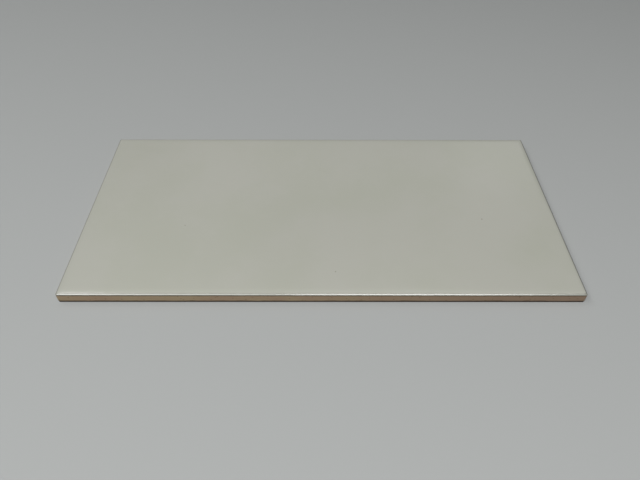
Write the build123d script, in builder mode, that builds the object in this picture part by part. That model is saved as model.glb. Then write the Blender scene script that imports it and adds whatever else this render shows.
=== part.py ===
"""A glazed ceramic wall tile, pressed and fired as one piece, lying on its keyed back with the glaze up.

Millimetres. The origin is the centre of the back, +X runs along the length and +Z out of the glazed face.
"""

import os
from math import radians, sin

from build123d import *

# The rectangle and its thickness, from the crests of the back ribs to the glazed face
TILE_LENGTH = 300.0
TILE_WIDTH = 150.0
TILE_THICKNESS = 7.5
CORNER_RADIUS = 0.8

# The cushion edge: the face falls away along a slow arc, then turns over a tight nose into the side
CUSHION_WIDTH = 4.0
CUSHION_FALL_ANGLE = 8.0
NOSE_RADIUS = 0.6

# The lower edge: below this height the sides draw in towards the back
LOWER_EDGE_HEIGHT = 1.9
LOWER_EDGE_DRAW = 0.4

# The key for the adhesive: a lattice of ribs between shallow square pockets, inside a plain rim
RIM_WIDTH = 6.0
KEY_PITCH = 14.5
RIB_WIDTH = 3.0
KEY_DEPTH = 0.7
KEY_WALL_ANGLE = 35.0


def cross_section(plane, span):
    """The tile cut across: flat face, cushion and nose at both ends, upright sides that draw in below."""
    half_span = span / 2
    fall = radians(CUSHION_FALL_ANGLE)
    cushion_radius = (CUSHION_WIDTH - NOSE_RADIUS * (1 - sin(fall))) / sin(fall)
    with BuildSketch(plane) as section:
        with BuildLine():
            face = Line((0, TILE_THICKNESS), (half_span - CUSHION_WIDTH, TILE_THICKNESS))
            cushion = JernArc(face @ 1, face % 1, cushion_radius, -CUSHION_FALL_ANGLE)
            nose = JernArc(cushion @ 1, cushion % 1, NOSE_RADIUS, CUSHION_FALL_ANGLE - 90)
            side = Line(nose @ 1, (half_span, LOWER_EDGE_HEIGHT))
            lower_edge = Line(side @ 1, (half_span - LOWER_EDGE_DRAW, 0))
            Line(lower_edge @ 1, (0, 0))
            mirror(about=Plane.YZ)
        make_face()
    return section.sketch


def key_layout(span):
    """Pitch and count of the pockets between the rims, about KEY_PITCH apart, with a rib at the middle."""
    lattice = span - 2 * (LOWER_EDGE_DRAW + RIM_WIDTH) + RIB_WIDTH
    count = 2 * max(1, round(lattice / KEY_PITCH / 2))
    return lattice / count, count


with BuildPart() as wall_tile:
    # The blank, with its upright corners rounded
    with BuildSketch():
        RectangleRounded(TILE_LENGTH, TILE_WIDTH, CORNER_RADIUS)
    extrude(amount=TILE_THICKNESS)

    # The same edge section along all four sides, mitred at the corners
    extrude(cross_section(Plane.XZ, TILE_LENGTH), amount=TILE_WIDTH, both=True, mode=Mode.INTERSECT)
    extrude(cross_section(Plane.YZ, TILE_WIDTH), amount=TILE_LENGTH, both=True, mode=Mode.INTERSECT)

    # The pockets pressed into the back, narrower at their floor
    pitch_x, columns = key_layout(TILE_LENGTH)
    pitch_y, rows = key_layout(TILE_WIDTH)
    with BuildSketch():
        with GridLocations(pitch_x, pitch_y, columns, rows):
            Rectangle(pitch_x - RIB_WIDTH, pitch_y - RIB_WIDTH)
    extrude(amount=KEY_DEPTH, taper=KEY_WALL_ANGLE, mode=Mode.SUBTRACT)

wall_tile.part.label = "wall_tile"

os.makedirs("parts", exist_ok=True)
export_step(wall_tile.part, "parts/wall_tile.step")
print("wall_tile", wall_tile.part.bounding_box().size, "volume", round(wall_tile.part.volume), "mm3")
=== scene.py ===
# %% [markdown]
# # A glazed wall tile, lying face up
#
# A wall tile is clay dust pressed in a steel die, coated with glaze on its face and fired. It leaves the
# kiln as one solid piece that shows two finishes. Smooth glaze covers the face and laps over the rounded
# edge. The sides and the back are bare matt clay, which potters call biscuit. Its place and sizes are
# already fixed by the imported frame, so the lesson starts by loading that.

# %% Load the frame and read the tile's sizes
from math import pi, radians

import bpy
import numpy as np
from mathutils import Matrix, Vector


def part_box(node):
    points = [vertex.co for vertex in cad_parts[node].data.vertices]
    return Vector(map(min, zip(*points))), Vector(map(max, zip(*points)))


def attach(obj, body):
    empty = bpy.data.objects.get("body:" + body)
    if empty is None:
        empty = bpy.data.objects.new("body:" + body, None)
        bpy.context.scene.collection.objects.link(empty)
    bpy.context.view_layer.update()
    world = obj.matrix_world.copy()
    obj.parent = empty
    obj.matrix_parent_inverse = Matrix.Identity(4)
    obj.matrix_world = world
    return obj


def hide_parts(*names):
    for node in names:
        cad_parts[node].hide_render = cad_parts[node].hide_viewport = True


MM = 0.001
TINY = 0.001 * MM

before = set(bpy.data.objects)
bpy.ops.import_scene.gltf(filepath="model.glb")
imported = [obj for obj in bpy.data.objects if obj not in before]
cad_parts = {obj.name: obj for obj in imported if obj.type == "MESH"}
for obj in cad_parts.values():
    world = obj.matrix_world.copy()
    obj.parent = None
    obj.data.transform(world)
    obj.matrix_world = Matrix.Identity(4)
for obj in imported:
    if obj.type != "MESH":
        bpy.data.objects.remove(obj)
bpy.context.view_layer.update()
HALF_LENGTH, HALF_WIDTH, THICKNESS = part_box("wall_tile")[1]
print(f"tile {2 * HALF_LENGTH / MM:.1f} x {2 * HALF_WIDTH / MM:.1f} x {THICKNESS / MM:.1f} mm")

# %% [markdown]
# ## Where the pockets of the back are
#
# The back is pressed into a lattice of ribs, so that adhesive can grip it. The pockets between the ribs
# are already in the frame's mesh. Their mouths are the points that lie on the ground inside the tile's
# outline, so the script reads their places there and needs no second list of sizes. It reads the lower
# edge the same way: the ground starts a little further in than the sides, and the sides start at some
# height.

# %% Read the pocket mouths from the frame's mesh
GROUND_TOLERANCE = 0.01 * MM
MOUTH_DECIMALS = 5


def mesh_points(mesh):
    """Every vertex of a mesh, one row of x, y and z each."""
    flat = np.empty(len(mesh.vertices) * 3, np.float32)
    mesh.vertices.foreach_get("co", flat)
    return flat.reshape(-1, 3).astype(float)


def mouth_lines(ground, axis):
    """The two sides of each pocket along one axis, a row a pocket: all ground lines but the outer two."""
    return np.unique(ground[:, axis].round(MOUTH_DECIMALS))[1:-1].reshape(-1, 2)


tile_points = mesh_points(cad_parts["wall_tile"].data)
ground = tile_points[tile_points[:, 2] < GROUND_TOLERANCE]
outermost = tile_points[tile_points[:, 0] > HALF_LENGTH - GROUND_TOLERANCE]
MOUTHS_X = mouth_lines(ground, 0)
MOUTHS_Y = mouth_lines(ground, 1)
LOWER_EDGE_DRAW = HALF_LENGTH - ground[:, 0].max()
LOWER_EDGE_HEIGHT = outermost[:, 2].min()
print(f"{len(MOUTHS_X)} x {len(MOUTHS_Y)} pockets")
print(f"lower edge {LOWER_EDGE_HEIGHT / MM:.2f} mm high, drawn in {LOWER_EDGE_DRAW / MM:.2f} mm")

# %% [markdown]
# ## The edge in section
#
# The die gives the edge a cushion: the face falls away slowly, a narrow soft facet turns it down, and a
# tight nose takes it into the side. The melted glaze then pulls every corner smooth. In the section this
# is a curve that is known by its slope: the slope is named at a few distances along the curve and
# smoothed between them.

# %% Work out the cushion edge
EDGE_ARC = np.array([0, 1.5, 3.3, 3.5, 4.4, 4.55]) * MM
EDGE_SLOPE = np.radians([0, 4, 12, 26, 42, 90])
EDGE_SOFTNESS = 0.2 * MM
PROFILE_SAMPLES = 4001


def edge_curve():
    """Distance in from the side, fall below the face, and slope, along the edge curve.

    The slope runs in straight ramps between its named places, and a sliding bell-shaped average rounds the
    ramps off. Adding up its cosine gives the way gone outwards and adding up its sine gives the fall.
    """
    arc = np.linspace(0, EDGE_ARC[-1], PROFILE_SAMPLES)
    step = arc[1]
    reach = int(EDGE_SOFTNESS / step / 2)
    bell = np.hanning(2 * reach + 3)[1:-1]
    ramps = np.pad(np.interp(arc, EDGE_ARC, EDGE_SLOPE), reach, mode="edge")
    slope = np.convolve(ramps, bell / bell.sum(), "valid")
    outwards = np.cumsum(np.cos(slope)) * step
    fall = np.cumsum(np.sin(slope)) * step
    return outwards[-1] - outwards, fall, slope


edge_inset, edge_fall, edge_slope = edge_curve()
CUSHION_RUN = edge_inset[0]
NOSE_FALL = edge_fall[-1]


def fall_at(inset):
    """How far the face lies below its flat middle, at a distance in from the side."""
    return np.interp(inset, edge_inset[::-1], edge_fall[::-1])


def slope_at(inset):
    """How steep the face is, in degrees, at a distance in from the side."""
    return np.degrees(np.interp(inset, edge_inset[::-1], edge_slope[::-1]))


print(f"the edge is {CUSHION_RUN / MM:.2f} mm wide and falls {NOSE_FALL / MM:.2f} mm")

# %% [markdown]
# ## One net of lines for the face and the back
#
# The face and the back are both drawn on the same net of lines, so their outer rings match vertex for
# vertex and the side can join them with plain quads. Lines are close together where something bends: over
# the cushion edge and down the pocket walls.
#
# A net of straight lines has square corners. Each ring of it is therefore bent into a rounded rectangle:
# near a corner, points slide along their ring, and the straight legs shorten to make room for the arc.

# %% Lay out the net and round its corners
EDGE_RINGS = 15
WALL_STEPS = np.array([-0.25, 0.1, 0.4, 0.75, 2.0]) * MM
NET_DECIMALS = 8
CORNER_RADIUS = 0.8 * MM
CUSHION_CORNER_RADIUS = 2.2 * MM
CORNER_BLOCK = 7.0 * MM


def net_lines(half, mouths):
    """Places of the lines along one axis: rings of the edge from both ends, pocket walls, pockets and ribs.

    The rings are spread evenly over half the way along the edge and half the turn of its slope.
    """
    progress = np.linspace(0, 1, PROFILE_SAMPLES) + edge_slope / edge_slope[-1]
    rings = np.interp(np.linspace(0, 2, EDGE_RINGS), progress, edge_inset)
    ends = half - rings
    walls = np.concatenate([mouths[:, :1] + WALL_STEPS, mouths[:, 1:] - WALL_STEPS], axis=1)
    rib_middles = (mouths[1:, 0] + mouths[:-1, 1]) / 2
    places = np.concatenate([ends, -ends, walls.ravel(), mouths.mean(axis=1), rib_middles])
    return np.unique(places.round(NET_DECIMALS))


def rounded_net(lines_x, lines_y):
    """Plan places of the net's points, and how far each ring lies in from the side.

    A point's ring is its smaller distance in from a side. Its way along the ring is measured from the
    corner's diagonal, shortened so that a ring with an arc is as long as its legs allow, and laid along the
    arc and then along the leg. Away from the corners a point stays where its two lines cross.
    """
    x, y = np.meshgrid(lines_x, lines_y, indexing="ij")
    inset_x = HALF_LENGTH - np.abs(x)
    inset_y = HALF_WIDTH - np.abs(y)
    ring = np.minimum(inset_x, inset_y)
    in_block = np.maximum(inset_x, inset_y) < CORNER_BLOCK
    radius = np.interp(ring, [0, CUSHION_RUN, CORNER_BLOCK], [CORNER_RADIUS, CUSHION_CORNER_RADIUS, 0])
    leg = np.maximum(CORNER_BLOCK - ring, TINY)
    way = np.abs(inset_x - inset_y) * (1 - radius * (1 - pi / 4) / leg)
    turn = np.clip(pi / 4 - way / np.maximum(radius, TINY), 0, pi / 4)
    across = ring + radius * (1 - np.cos(turn))
    beside = ring + radius * (1 - np.sin(turn)) + np.maximum(way - radius * pi / 4, 0)
    near_x = inset_x <= inset_y
    new_x = np.where(in_block, np.where(near_x, across, beside), inset_x)
    new_y = np.where(in_block, np.where(near_x, beside, across), inset_y)
    return np.sign(x) * (HALF_LENGTH - new_x), np.sign(y) * (HALF_WIDTH - new_y), ring


plan_x, plan_y, ring = rounded_net(net_lines(HALF_LENGTH, MOUTHS_X), net_lines(HALF_WIDTH, MOUTHS_Y))
print(f"net of {plan_x.shape[0]} x {plan_x.shape[1]} lines")

# %% [markdown]
# ## Unevenness that is the same at every run
#
# Nothing that has been through a kiln is exact: the face ripples by some thousandths of a millimetre, and
# the pressed sides and their lower edge are not quite straight. A handful of plane waves with chosen
# lengths and seeded directions gives such a field for whole arrays at once.

# %% A field of seeded waves
WAVE_COUNT = 14


def waves(u, v, shortest, longest, seed):
    """A smooth uneven field of about unit height: a sum of plane waves, with lengths between two limits."""
    draw = np.random.default_rng(seed)
    length = np.geomspace(shortest, longest, WAVE_COUNT)
    heading = draw.uniform(0, 2 * pi, WAVE_COUNT)
    phase = draw.uniform(0, 2 * pi, WAVE_COUNT)
    distance = u[..., None] * np.cos(heading) + v[..., None] * np.sin(heading)
    return np.sin(2 * pi * distance / length + phase).sum(axis=-1) / np.sqrt(WAVE_COUNT / 2)


print(f"{WAVE_COUNT} waves in a field")

# %% [markdown]
# ## The glazed face
#
# The face is the frame's flat top with the cushion edge round it. It could be a plain plane with a bump
# texture, but then every reflection in it would be dead straight, so the ripple is put into the mesh.

# %% Heights of the face
FACE_RIPPLE = 0.006 * MM
RIPPLE_LENGTHS = (14 * MM, 70 * MM)

ripple = FACE_RIPPLE * waves(plan_x, plan_y, *RIPPLE_LENGTHS, seed=11)
ripple_room = np.clip(ring / CUSHION_RUN, 0, 1)
face_z = THICKNESS - fall_at(ring) - (ripple - ripple.min()) * ripple_room
print(f"ripple {np.ptp(ripple) / MM:.3f} mm from crest to hollow")

# %% [markdown]
# ## Painted shade on the turned edge
#
# Where the edge turns down, the glaze colour is darkened by painted shade. It is darkest on the
# right side, less so on the back one, and least on the other two. The share is worked out here, from
# the slope of the edge in degrees, and the glaze material uses it later.

# %% Share of painted shade on the turned edge
EDGE_SHADE_START, EDGE_SHADE_START_RIGHT, EDGE_SHADE_FULL = 12.0, 5.0, 30.0
EDGE_SHADE_LEFT, EDGE_SHADE_FRONT, EDGE_SHADE_BACK, EDGE_SHADE_RIGHT = 0.48, 0.48, 0.7, 1.0


def painted_edge_shade(x, y, ring):
    """Share of painted shade on the glaze: 0 on the flat face, and on the turned edge a share that differs by
    side.

    It grows with the slope, from the slope at which that side starts to the slope of full shade. Near a
    corner the values of its two sides are blended by how close each side is.
    """
    inset_x = HALF_LENGTH - np.abs(x) + TINY
    inset_y = HALF_WIDTH - np.abs(y) + TINY
    end_weight = inset_y / (inset_x + inset_y)
    start = EDGE_SHADE_START + end_weight * np.where(x > 0, EDGE_SHADE_START_RIGHT - EDGE_SHADE_START, 0)
    end_share = np.where(x > 0, EDGE_SHADE_RIGHT, EDGE_SHADE_LEFT)
    long_share = np.where(y > 0, EDGE_SHADE_BACK, EDGE_SHADE_FRONT)
    turned = np.clip((slope_at(ring) - start) / (EDGE_SHADE_FULL - start), 0, 1)
    return turned**2 * (3 - 2 * turned) * (end_weight * end_share + (1 - end_weight) * long_share)


painted_shade = painted_edge_shade(plan_x, plan_y, ring)
print(f"the glaze is thin at {(painted_shade > 0).mean():.0%} of the points")

# %% [markdown]
# ## The back
#
# The pockets have sloping walls so that the tile leaves the die, and soft corners because the die is worn
# and polished. The height of the back is worked out from the distance to the nearest pocket mouth, which
# is a rounded square. The outline of the back lies further in than that of the face, because the lower
# edge draws in, so the net is pulled in there, and the pull fades out across the rim before the first
# pockets.

# %% Heights of the back
KEY_DEPTH = 0.7 * MM
WALL_RUN = 0.49 * MM
POCKET_CORNER = 1.1 * MM
POCKET_DISH = 0.05 * MM
FOOT_ROUNDING = 0.12 * MM
PULL_FADE = 5.0 * MM


def nearest_offset(place, mouths):
    """Distance from the middle of the nearest pocket along one axis."""
    middle = mouths.mean(axis=1)
    nearest = middle[np.abs(place[..., None] - middle).argmin(axis=-1)]
    return np.abs(place - nearest)


def pocket_depth(x, y):
    """Depth of the back under a point: a smooth ramp over the wall, from the nearest mouth inwards.

    The distance in from the mouth is that of a rounded rectangle: the longer of the two overshoots past the
    corner's centre, or their diagonal where both are positive, taken from the corner radius.
    """
    half_x = (MOUTHS_X[0, 1] - MOUTHS_X[0, 0]) / 2
    half_y = (MOUTHS_Y[0, 1] - MOUTHS_Y[0, 0]) / 2
    over_x = nearest_offset(x, MOUTHS_X) - half_x + POCKET_CORNER
    over_y = nearest_offset(y, MOUTHS_Y) - half_y + POCKET_CORNER
    outside = np.hypot(np.maximum(over_x, 0), np.maximum(over_y, 0))
    inwards = POCKET_CORNER - outside - np.minimum(np.maximum(over_x, over_y), 0)
    ramp = np.clip((inwards + WALL_RUN / 2) / (2 * WALL_RUN), 0, 1)
    dish = np.clip(inwards / half_x, 0, 1)
    return KEY_DEPTH * ramp**2 * (3 - 2 * ramp) + POCKET_DISH * dish**2


def pulled_in(place, half):
    """Places along one axis of the back: drawn in at the outline, less and less further in from it."""
    pull = (LOWER_EDGE_DRAW + FOOT_ROUNDING) * np.clip(1 - (half - np.abs(place)) / PULL_FADE, 0, 1)
    return place - np.sign(place) * pull


back_x = pulled_in(plan_x, HALF_LENGTH)
back_y = pulled_in(plan_y, HALF_WIDTH)
back_z = pocket_depth(back_x, back_y)
print(f"deepest pocket {back_z.max() / MM:.2f} mm")

# %% [markdown]
# ## The side, from the glaze line to the ground
#
# Glaze is a thin layer. It ends in a soft lip just under the rounded edge, and the bare side starts
# behind that lip. The die has a little draft, so the side comes forward again as it goes down to an
# arris, and below that the lower edge draws in to the foot. One profile holds all this and is carried
# round the outer ring of the net.

# %% Carry the side profile round the outline
LIP = 0.04 * MM
LIP_SHARES = np.array([0.35, 0.7, 0.9, 1.0])
LIP_INSETS = np.array([0.0, 0.0, 0.35, 1.0]) * LIP
SIDE_SHARES = np.array([0.04, 0.1, 0.2, 0.35, 0.5, 0.65, 0.8, 0.93])
LOWER_SHARES = np.array([0.0, 0.15, 0.4, 0.7, 0.92])
ARRIS_WAVER = 0.07 * MM
ARRIS_LENGTHS = (3 * MM, 60 * MM)
SIDE_ROUGHNESS = 0.02 * MM
SIDE_LENGTHS = (2.5 * MM, 25 * MM)


def outer_loop(grid):
    """The outermost values of a grid, once round anticlockwise."""
    return np.concatenate([grid[:-1, 0], grid[-1, :-1], grid[:0:-1, -1], grid[0, :0:-1]])


def side_rows(x, y, top):
    """Rows of points down the side, their distance below the glaze line and their height over the arris.

    Each row is a share of the way down: first through the lip to the glaze line, then from there to the
    arris and on to the foot. A row moves in from the outline along the loop's own normal.
    """
    ahead = np.stack([np.roll(x, -1) - np.roll(x, 1), np.roll(y, -1) - np.roll(y, 1)])
    ahead /= np.hypot(*ahead)
    outward_x, outward_y = ahead[1], -ahead[0]
    glaze_line = top - LIP
    lip_z = top + (glaze_line - top) * LIP_SHARES[:, None]
    arris = LOWER_EDGE_HEIGHT + ARRIS_WAVER * waves(x, y, *ARRIS_LENGTHS, seed=23)
    side_z = glaze_line + (arris - glaze_line) * SIDE_SHARES[:, None]
    lower_z = arris * (1 - LOWER_SHARES[:, None])
    bare_z = np.concatenate([side_z, lower_z])
    rough = SIDE_ROUGHNESS * waves(np.broadcast_to(x + y, bare_z.shape), bare_z, *SIDE_LENGTHS, seed=31)
    draw = np.concatenate([LIP * (1 - SIDE_SHARES), LOWER_EDGE_DRAW * LOWER_SHARES])
    z = np.concatenate([lip_z, bare_z])
    lip_inset = np.broadcast_to(LIP_INSETS[:, None], lip_z.shape)
    inset = np.concatenate([lip_inset, draw[:, None] + rough - rough.min()])
    return np.stack([x - outward_x * inset, y - outward_y * inset, z], axis=-1), glaze_line - z, z - arris


loop_x, loop_y = outer_loop(plan_x), outer_loop(plan_y)
side_points, side_depth, side_over_arris = side_rows(loop_x, loop_y, outer_loop(face_z))
print(f"side of {side_points.shape[0]} rows round {side_points.shape[1]} points")

# %% [markdown]
# ## One closed mesh with two finishes
#
# The three surfaces share their vertices where they meet, so the tile is watertight. Every quad is listed
# anticlockwise as seen from outside. The first quads, the face and the lip, get the glaze. All others are
# biscuit. One mesh is enough, because the real tile is one piece and each quad may name its own finish.

# %% Helpers for meshes of quads
def quads(grid):
    """The corners of each cell of a grid of vertex numbers."""
    return np.stack([grid[:-1, :-1], grid[1:, :-1], grid[1:, 1:], grid[:-1, 1:]], axis=-1).reshape(-1, 4)


def quad_mesh(name, points, corners, finish):
    """A smooth mesh from whole arrays: points, four corners a face, and the material number of each face."""
    mesh = bpy.data.meshes.new(name)
    mesh.vertices.add(len(points))
    mesh.vertices.foreach_set("co", points.astype(np.float32).ravel())
    mesh.loops.add(corners.size)
    mesh.loops.foreach_set("vertex_index", corners.astype(np.int32).ravel())
    mesh.polygons.add(len(corners))
    mesh.polygons.foreach_set("loop_start", np.arange(0, corners.size, 4, dtype=np.int32))
    mesh.polygons.foreach_set("material_index", finish.astype(np.int32))
    mesh.polygons.foreach_set("use_smooth", np.ones(len(corners), bool))
    mesh.update(calc_edges=True)
    mesh.validate()
    return mesh


# %% Join the surfaces into the tile
face_count = face_z.size
face_numbers = np.arange(face_count).reshape(face_z.shape)
back_numbers = face_numbers + face_count
side_numbers = 2 * face_count + np.arange(side_depth.size).reshape(side_depth.shape)
band = np.vstack([outer_loop(face_numbers), side_numbers, outer_loop(back_numbers)])
band = np.hstack([band, band[:, :1]])

glaze_rows = len(LIP_SHARES) + 1
glazed = np.concatenate([quads(face_numbers), quads(band[:glaze_rows].T)])
bare = np.concatenate([quads(band[glaze_rows - 1:].T), quads(back_numbers)[:, ::-1]])
points = np.concatenate([
    np.stack([plan_x, plan_y, face_z], axis=-1).reshape(-1, 3),
    np.stack([back_x, back_y, back_z], axis=-1).reshape(-1, 3),
    side_points.reshape(-1, 3),
])
finish = np.repeat([0, 1], [len(glazed), len(bare)])
tile_mesh = quad_mesh("glazed_wall_tile", points, np.concatenate([glazed, bare]), finish)
tile = bpy.data.objects.new("glazed_wall_tile", tile_mesh)
bpy.context.scene.collection.objects.link(tile)
tile_mesh.calc_loop_triangles()
print(f"tile of {len(tile_mesh.loop_triangles)} triangles")

# %% [markdown]
# ## Values that ride on the vertices
#
# Three things depend on where a point sits on the tile: how much painted shade darkens the glaze, how
# far below the glaze line the bare clay lies, and how high it lies over the arris. A picture could hold
# them, but the mesh has vertices wherever they change, so each is kept there as an attribute that a
# material can read.
# Distances are in millimetres. On the back, the distance in from the outline stands for the height over
# the arris, so that the painted shade of the lower edge reaches a little way under the rim.

# %% Keep values at the vertices
FAR = 20.0
# about how far under the rim the painted shade of the lower edge reaches, in millimetres
SHADED_RIM = 1.0


def store(mesh, name, face, back, side):
    """Keep one value at every vertex: those of the face, then the back, then the side."""
    values = np.concatenate([np.ravel(face), np.ravel(back), np.ravel(side)]).astype(np.float32)
    mesh.attributes.new(name, "FLOAT", "POINT").data.foreach_set("value", values)


# the share of painted shade on the turned edge, carried down the side
side_painted_shade = np.broadcast_to(outer_loop(painted_shade), side_depth.shape)
store(tile_mesh, "painted_edge_shade", painted_shade, np.zeros(face_count), side_painted_shade)
store(tile_mesh, "below_glaze", np.zeros(face_count), np.full(face_count, FAR), side_depth / MM)
store(tile_mesh, "over_arris", np.full(face_count, FAR), ring / MM - SHADED_RIM, side_over_arris / MM)
print(f"values kept at {len(tile_mesh.vertices)} vertices")

# %% [markdown]
# ## Helpers for node materials
#
# A material is a small graph of nodes. A few helpers keep the next cells short: they feed sockets, add a
# node, turn a value into a soft mask, put two values together and lay one colour over another.

# %% Node helpers
def srgb(red, green, blue):
    """A colour given in the usual 0 to 255 steps, as the linear light that a shader works with."""
    share = np.array([red, green, blue]) / 255
    linear = np.where(share <= 0.04045, share / 12.92, ((share + 0.055) / 1.055) ** 2.4)
    return (*linear.tolist(), 1.0)


def feed(tree, socket, value):
    """Set a socket to a value, or link it where the value is another node's socket."""
    if isinstance(value, bpy.types.NodeSocket):
        tree.links.new(value, socket)
    else:
        socket.default_value = value


def feed_all(tree, node, **inputs):
    """Feed a node's sockets by name, with an underscore for each space in the name."""
    for name, value in inputs.items():
        feed(tree, node.inputs[name.replace("_", " ")], value)


def add_node(tree, kind, settings=None, **inputs):
    """A new node: settings are its properties, inputs its socket values or the sockets that feed them."""
    node = tree.nodes.new("ShaderNode" + kind)
    for name, value in (settings or {}).items():
        setattr(node, name, value)
    feed_all(tree, node, **inputs)
    return node


def mask(tree, value, start, end):
    """0 at the start value, 1 at the end value, and a smooth ramp between."""
    smooth = {"interpolation_type": "SMOOTHSTEP"}
    return add_node(tree, "MapRange", smooth, Value=value, From_Min=start, From_Max=end).outputs["Result"]


def combine(tree, operation, first, second):
    """Two values put together by one operation, such as their product or the larger of the two."""
    node = add_node(tree, "Math", {"operation": operation})
    feed(tree, node.inputs[0], first)
    feed(tree, node.inputs[1], second)
    return node.outputs[0]


def lay_over(tree, under, over, factor):
    """One colour over another where the factor is 1. Each may be a colour or a socket.

    The node has sockets for several kinds of value: 0 is the factor, 6 and 7 are the colours, and the mixed
    colour is output 2.
    """
    mix = add_node(tree, "Mix", {"data_type": "RGBA"})
    for number, value in ((6, under), (7, over), (0, factor)):
        feed(tree, mix.inputs[number], value)
    return mix.outputs[2]


def new_material(name):
    """An empty node material, its principled shader and the piece's own coordinates."""
    material = bpy.data.materials.new(name)
    material.use_nodes = True
    tree = material.node_tree
    place = add_node(tree, "TexCoord").outputs["Object"]
    return material, tree, tree.nodes["Principled BSDF"], place


# %% [markdown]
# ## The glaze
#
# The glaze is a warm off-white glass, opaque, with a satin gloss. Its colour drifts very slightly where
# it lies thicker, and painted shade darkens it on the turned edge. A few dark specks of iron have come
# through. The gloss needs fine dimples too small for the mesh, so those are a bump.

# %% Glaze material
GLAZE_COLOUR = srgb(162, 163, 152)
GLAZE_THICK_COLOUR = srgb(165, 165, 156)
# the colour of the painted shade on the turned edge
GLAZE_PAINTED_SHADE_COLOUR = srgb(100, 101, 94)
GLAZE_IOR = 1.6
GLAZE_ROUGHNESS = (0.16, 0.24)
DRIFT = {"Scale": 14.0, "Detail": 4.0, "Roughness": 0.6}
DRIFT_START, DRIFT_FULL = 0.35, 0.65
IRON_COLOUR = srgb(84, 78, 66)
IRON_SPECKS = (
    (102.5 * MM, -13 * MM, 0.45 * MM),
    (8 * MM, -58 * MM, 0.4 * MM),
    (-86 * MM, -19 * MM, 0.35 * MM),
)
IRON_CORE = 0.4
DIMPLES = {"Scale": 210.0, "Detail": 1.0}
DIMPLE_HEIGHT = 0.006 * MM


def make_glaze():
    """Off-white glaze: two close colours drifting, painted shade on the turned edge, iron specks and a
    dimpled gloss.
    """
    material, tree, shader, place = new_material("ivory_glaze")
    drift = add_node(tree, "TexNoise", Vector=place, **DRIFT).outputs["Fac"]
    colour = lay_over(tree, GLAZE_COLOUR, GLAZE_THICK_COLOUR, mask(tree, drift, DRIFT_START, DRIFT_FULL))
    # painted shade: the turned edge darkens by the share kept at the vertices
    shade_share = add_node(tree, "Attribute", {"attribute_name": "painted_edge_shade"}).outputs["Fac"]
    colour = lay_over(tree, colour, GLAZE_PAINTED_SHADE_COLOUR, shade_share)
    for x, y, radius in IRON_SPECKS:
        away = add_node(tree, "VectorMath", {"operation": "DISTANCE"})
        feed(tree, away.inputs[0], place)
        feed(tree, away.inputs[1], (x, y, THICKNESS))
        speck = mask(tree, away.outputs["Value"], radius, radius * IRON_CORE)
        colour = lay_over(tree, colour, IRON_COLOUR, speck)
    smoothest, roughest = GLAZE_ROUGHNESS
    gloss = add_node(tree, "MapRange", Value=drift, To_Min=smoothest, To_Max=roughest).outputs["Result"]
    dimples = add_node(tree, "TexNoise", Vector=place, **DIMPLES).outputs["Fac"]
    bump = add_node(tree, "Bump", Height=dimples, Distance=DIMPLE_HEIGHT).outputs["Normal"]
    feed_all(tree, shader, Base_Color=colour, Roughness=gloss, Normal=bump, IOR=GLAZE_IOR)
    return material


tile_mesh.materials.append(make_glaze())
print(f"glaze with {len(IRON_SPECKS)} iron specks")

# %% [markdown]
# ## The biscuit
#
# Biscuit is fired clay: matt, pinkish buff, and cloudy because the clay dust is a blend. Towards the
# right end it turns darker and pinker. It has fine grains, pits and some dark grit. A thin dark brown
# band just under the glaze line is painted shade under the glaze lip, and a dark brown band along the
# lower edge, where it draws in towards the floor, is painted shade too. Both bands follow the edges of
# the tile, so they read the values kept at the vertices.

# %% Biscuit material
BISCUIT_BUFF = srgb(141, 126, 101)
BISCUIT_PINK = srgb(138, 119, 98)
BISCUIT_ROUGHNESS = 0.92
BISCUIT_SPECULAR = 0.25
CLOUDS = {"Scale": 42.0, "Detail": 5.0, "Roughness": 0.6}
CLOUD_START, CLOUD_FULL = 0.38, 0.62
# the biscuit turns darker and pinker towards the right end
RIGHT_END_COLOUR = srgb(125, 107, 90)
RIGHT_END_START, RIGHT_END_FULL = -60 * MM, 140 * MM
GRIT_COLOUR = srgb(92, 75, 56)
GRIT_SCALE = 420.0
GRIT_RIM, GRIT_CORE = 0.22, 0.1
GRIT_STRENGTH = 0.6
# painted shade in a thin band just under the glaze lip
LIP_SHADE_COLOUR = srgb(54, 43, 29)
LIP_SHADE_START, LIP_SHADE_FULL = 0.9, 0.45
# painted shade along the lower edge, where it draws in towards the floor
LOWER_EDGE_SHADE_COLOUR = srgb(60, 47, 36)
LOWER_EDGE_SHADE_START, LOWER_EDGE_SHADE_FULL = -0.05, -0.3
GRAIN = {"Scale": 900.0, "Detail": 4.0, "Roughness": 0.7}
GRAIN_HEIGHT = 0.08 * MM


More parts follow.
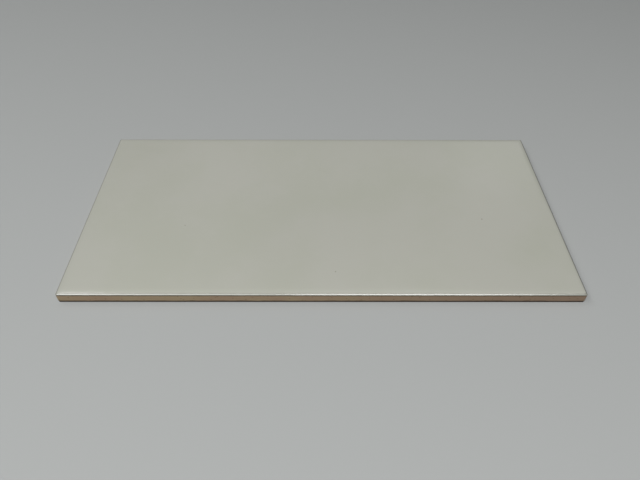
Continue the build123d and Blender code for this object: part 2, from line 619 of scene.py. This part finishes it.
def make_biscuit():
    """Bare clay: two earth colours in clouds, a darker pinker end, grit, painted shade at the lip and the
    foot, grain.
    """
    material, tree, shader, place = new_material("buff_biscuit")
    clouds = add_node(tree, "TexNoise", Vector=place, **CLOUDS).outputs["Fac"]
    colour = lay_over(tree, BISCUIT_BUFF, BISCUIT_PINK, mask(tree, clouds, CLOUD_START, CLOUD_FULL))
    # darker and pinker towards the right end
    along = add_node(tree, "SeparateXYZ", Vector=place).outputs["X"]
    colour = lay_over(tree, colour, RIGHT_END_COLOUR, mask(tree, along, RIGHT_END_START, RIGHT_END_FULL))
    cells = add_node(tree, "TexVoronoi", Vector=place, Scale=GRIT_SCALE).outputs["Distance"]
    grit = combine(tree, "MULTIPLY", mask(tree, cells, GRIT_RIM, GRIT_CORE), GRIT_STRENGTH)
    colour = lay_over(tree, colour, GRIT_COLOUR, grit)
    # painted shade just under the glaze line
    below = add_node(tree, "Attribute", {"attribute_name": "below_glaze"}).outputs["Fac"]
    colour = lay_over(tree, colour, LIP_SHADE_COLOUR, mask(tree, below, LIP_SHADE_START, LIP_SHADE_FULL))
    # painted shade along the lower edge and a little way under the rim
    over = add_node(tree, "Attribute", {"attribute_name": "over_arris"}).outputs["Fac"]
    colour = lay_over(tree, colour, LOWER_EDGE_SHADE_COLOUR, mask(tree, over, LOWER_EDGE_SHADE_START, LOWER_EDGE_SHADE_FULL))
    grain = add_node(tree, "TexNoise", Vector=place, **GRAIN).outputs["Fac"]
    bump = add_node(tree, "Bump", Height=grain, Distance=GRAIN_HEIGHT).outputs["Normal"]
    feed_all(tree, shader, Base_Color=colour, Normal=bump)
    feed_all(tree, shader, Roughness=BISCUIT_ROUGHNESS, Specular_IOR_Level=BISCUIT_SPECULAR)
    return material


tile_mesh.materials.append(make_biscuit())
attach(tile, "root")
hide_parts("wall_tile")
print("finishes:", [material.name for material in tile_mesh.materials])

# %% [markdown]
# ## Floor, light and camera
#
# The tile lies on a plain pale floor under a ceiling of soft boxes. The strong ones hang in front, to the
# left and to the right, so that the rounded front edge catches a bright line. One to the left of the tile
# leaves its right edge in shade, and the dim ones behind are what the face mirrors.
#
# Far out, the floor fades into a pale surround. The surround is seen straight, in gloss and through
# glass, but sends no light, so the soft boxes alone light the tile.

# %% Floor and surround
FLOOR_REACH = 4.0
FLOOR_GAP = 0.02 * MM
FLOOR_COLOUR = srgb(160, 162, 161)
FLOOR_ROUGHNESS = 0.6
FLOOR_SPECULAR = 0.2
SURROUND_COLOUR = srgb(154, 157, 156)
FADE_START, FADE_FULL = 0.7, 2.2


def seen(tree):
    """1 for a ray that looks straight, in a gloss or through glass, and 0 for a ray that gathers light."""
    rays = add_node(tree, "LightPath").outputs
    straight_or_gloss = combine(tree, "MAXIMUM", rays["Is Camera Ray"], rays["Is Glossy Ray"])
    return combine(tree, "MAXIMUM", straight_or_gloss, rays["Is Transmission Ray"])


def make_floor():
    """A flat square of floor just under the tile, which fades into the surround."""
    corner = np.array([[-1, -1], [1, -1], [1, 1], [-1, 1]]) * FLOOR_REACH
    points = np.column_stack([corner, np.full(4, -FLOOR_GAP)])
    mesh = quad_mesh("floor", points, np.arange(4).reshape(1, 4), np.zeros(1))
    floor = bpy.data.objects.new("floor", mesh)
    bpy.context.scene.collection.objects.link(floor)
    material, tree, shader, place = new_material("pale_floor")
    feed_all(tree, shader, Base_Color=FLOOR_COLOUR)
    feed_all(tree, shader, Roughness=FLOOR_ROUGHNESS, Specular_IOR_Level=FLOOR_SPECULAR)
    away = add_node(tree, "VectorMath", {"operation": "LENGTH"}, Vector=place).outputs["Value"]
    faded = combine(tree, "MULTIPLY", seen(tree), mask(tree, away, FADE_START, FADE_FULL))
    glow = add_node(tree, "Emission", Color=SURROUND_COLOUR).outputs["Emission"]
    fade = add_node(tree, "MixShader", Fac=faded)
    feed(tree, fade.inputs[1], shader.outputs["BSDF"])
    feed(tree, fade.inputs[2], glow)
    feed_all(tree, tree.nodes["Material Output"], Surface=fade.outputs["Shader"])
    mesh.materials.append(material)
    return floor


make_floor()

world = bpy.data.worlds.new("surround")
world.use_nodes = True
background = world.node_tree.nodes["Background"]
feed_all(world.node_tree, background, Color=SURROUND_COLOUR, Strength=seen(world.node_tree))
bpy.context.scene.world = world
print(f"floor that fades out from {FADE_START} to {FADE_FULL} m")

# %% Light
LAMP_HEIGHT = 1.5
SOFT_BOXES = {
    "left_soft_box": {"place": (-0.98, -1.15), "size": (0.46, 1.1), "radiance": 8.9},
    "middle_soft_box": {"place": (-0.48, -1.15), "size": (0.54, 1.1), "radiance": 5.0},
    "right_soft_box": {"place": (0.35, -1.15), "size": (0.9, 1.1), "radiance": 10.0},
    "side_soft_box": {"place": (-1.15, 0.1), "size": (0.9, 0.8), "radiance": 3.6},
    "back_soft_box": {"place": (-0.32, 0.85), "size": (1.75, 0.7), "radiance": 0.54},
    "back_left_soft_box": {"place": (-0.7, 1.5), "size": (0.8, 0.6), "radiance": 0.2},
    "far_soft_box": {"place": (0.0, 2.1), "size": (1.4, 0.6), "radiance": 0.34},
    "far_right_soft_box": {"place": (0.95, 2.1), "size": (0.5, 0.6), "radiance": 0.8},
}


def hang_soft_box(name, place, size, radiance):
    """A rectangular lamp facing straight down. Its power is its radiance times its area times pi."""
    data = bpy.data.lights.new(name, "AREA")
    data.shape = "RECTANGLE"
    data.size, data.size_y = size
    data.energy = radiance * size[0] * size[1] * pi
    lamp = bpy.data.objects.new(name, data)
    lamp.location = (*place, LAMP_HEIGHT)
    bpy.context.scene.collection.objects.link(lamp)


for name, box in SOFT_BOXES.items():
    hang_soft_box(name, **box)
print(f"{len(SOFT_BOXES)} soft boxes, {LAMP_HEIGHT} m up")

# %% Camera
CAMERA_PLACE = Vector((-2.3, -277.7, 254.0)) * MM
CAMERA_PITCH = radians(45.09)
CAMERA_YAW = radians(0.305)
CAMERA_ROLL = radians(0.264)
CAMERA_LENS = 31.84
CAMERA_CLIP = 10 * MM

camera_data = bpy.data.cameras.new("camera")
camera_data.lens = CAMERA_LENS
camera_data.clip_start = CAMERA_CLIP
camera = bpy.data.objects.new("camera", camera_data)
camera.matrix_world = (
    Matrix.Translation(CAMERA_PLACE)
    @ Matrix.Rotation(-CAMERA_YAW, 4, "Z")
    @ Matrix.Rotation(pi / 2 - CAMERA_PITCH, 4, "X")
    @ Matrix.Rotation(CAMERA_ROLL, 4, "Z")
)
bpy.context.scene.collection.objects.link(camera)
bpy.context.scene.camera = camera
bpy.context.scene.view_settings.view_transform = "Standard"
print(f"camera {CAMERA_PLACE.length / MM:.0f} mm from the tile's middle")
